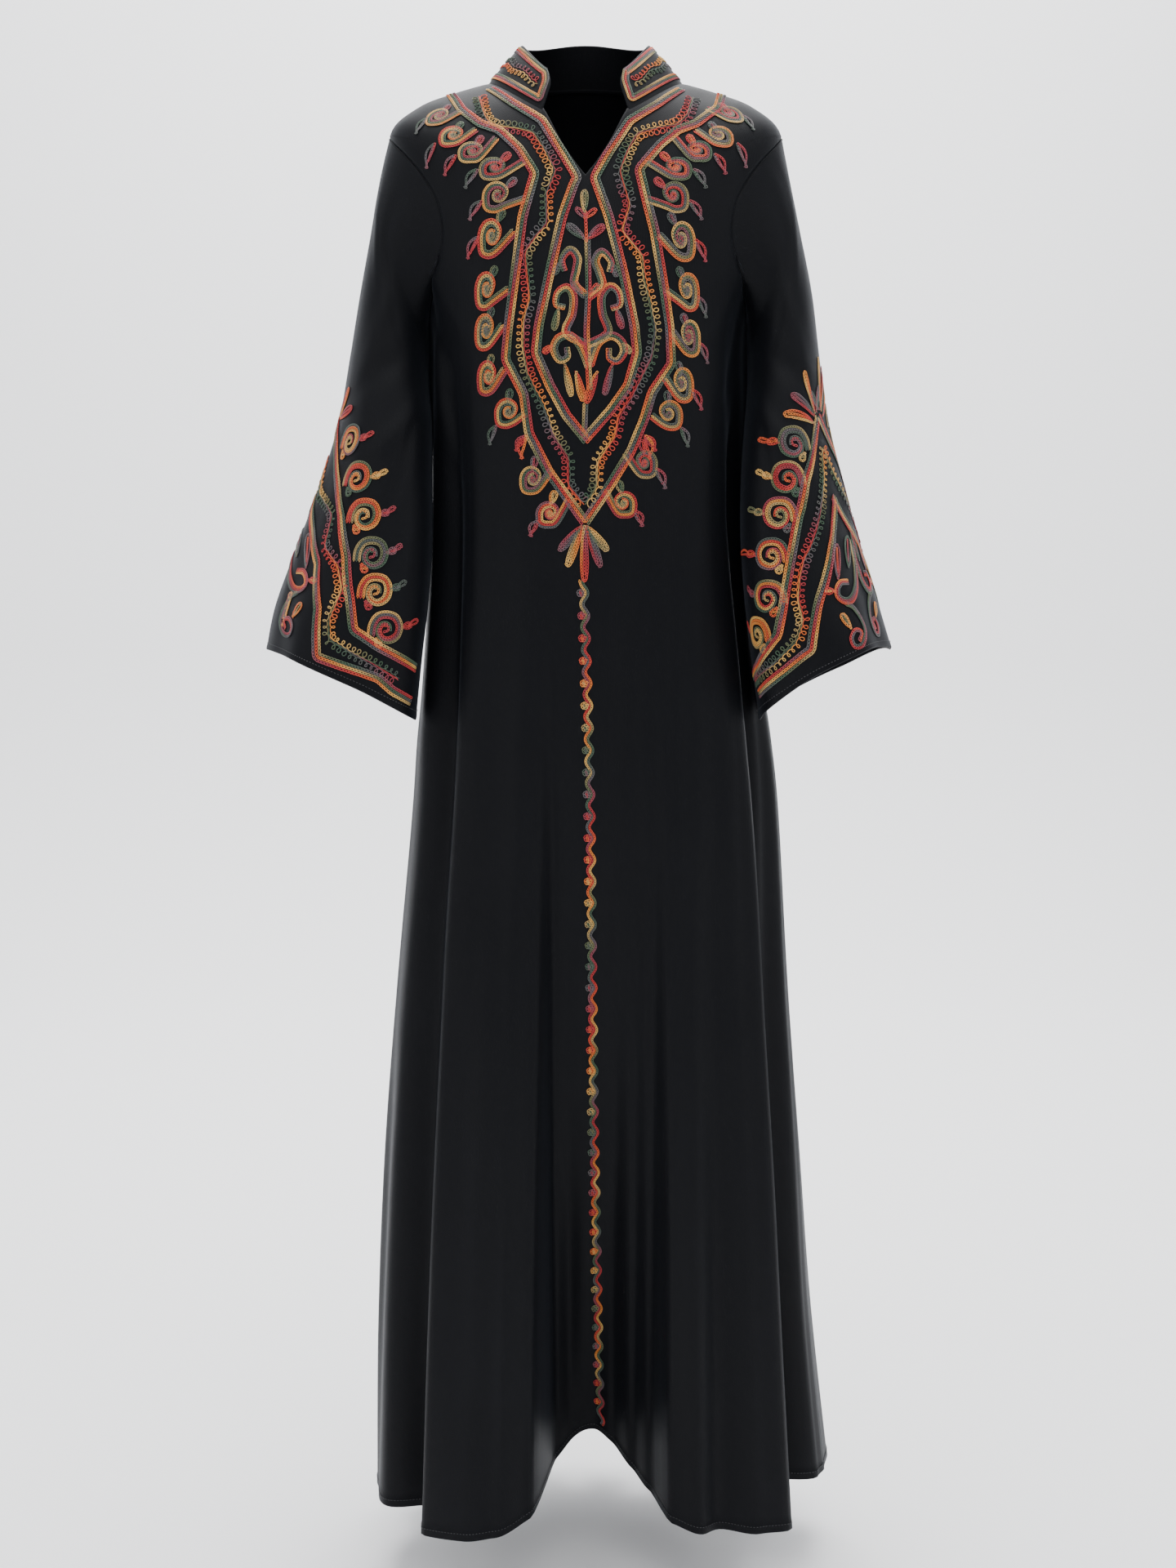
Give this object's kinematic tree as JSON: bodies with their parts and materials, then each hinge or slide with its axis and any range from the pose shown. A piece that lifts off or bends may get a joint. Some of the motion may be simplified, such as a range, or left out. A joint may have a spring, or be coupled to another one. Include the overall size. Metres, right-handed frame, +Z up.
{
  "type": "abaya",
  "caption": "Floor-length abaya, hollow as worn, with a split stand collar, V neck, bell sleeves, fluted skirt and raised embroidered borders on the yoke, centre front and sleeves.",
  "frame": {"origin": "centre of the neck base, between the two shoulder seams at the neck", "axes": "+Z up along the wearer's spine, front towards -Y, +X towards the wearer's left"},
  "size_m": [0.6535, 0.3643, 1.5562],
  "materials": {
    "crepe": "black crepe with a soft sheen",
    "collar_cloth": "black crepe, doubled",
    "crimson_thread": "chain stitch in variegated thread",
    "gold_thread": "chain stitch in variegated thread",
    "green_thread": "chain stitch in variegated thread"
  },
  "bodies": {
    "root": {"front_panel": "crepe", "back_panel": "crepe", "sleeve_left": "crepe", "sleeve_right": "crepe", "collar": "collar_cloth", "yoke_border": "crimson_thread", "sleeve_border_left": "crimson_thread", "sleeve_border_right": "crimson_thread", "neckline_border": "gold_thread", "centre_vine": "gold_thread", "cuff_border_left": "gold_thread", "cuff_border_right": "gold_thread", "centre_stem": "green_thread"}
  },
  "joints": []
}
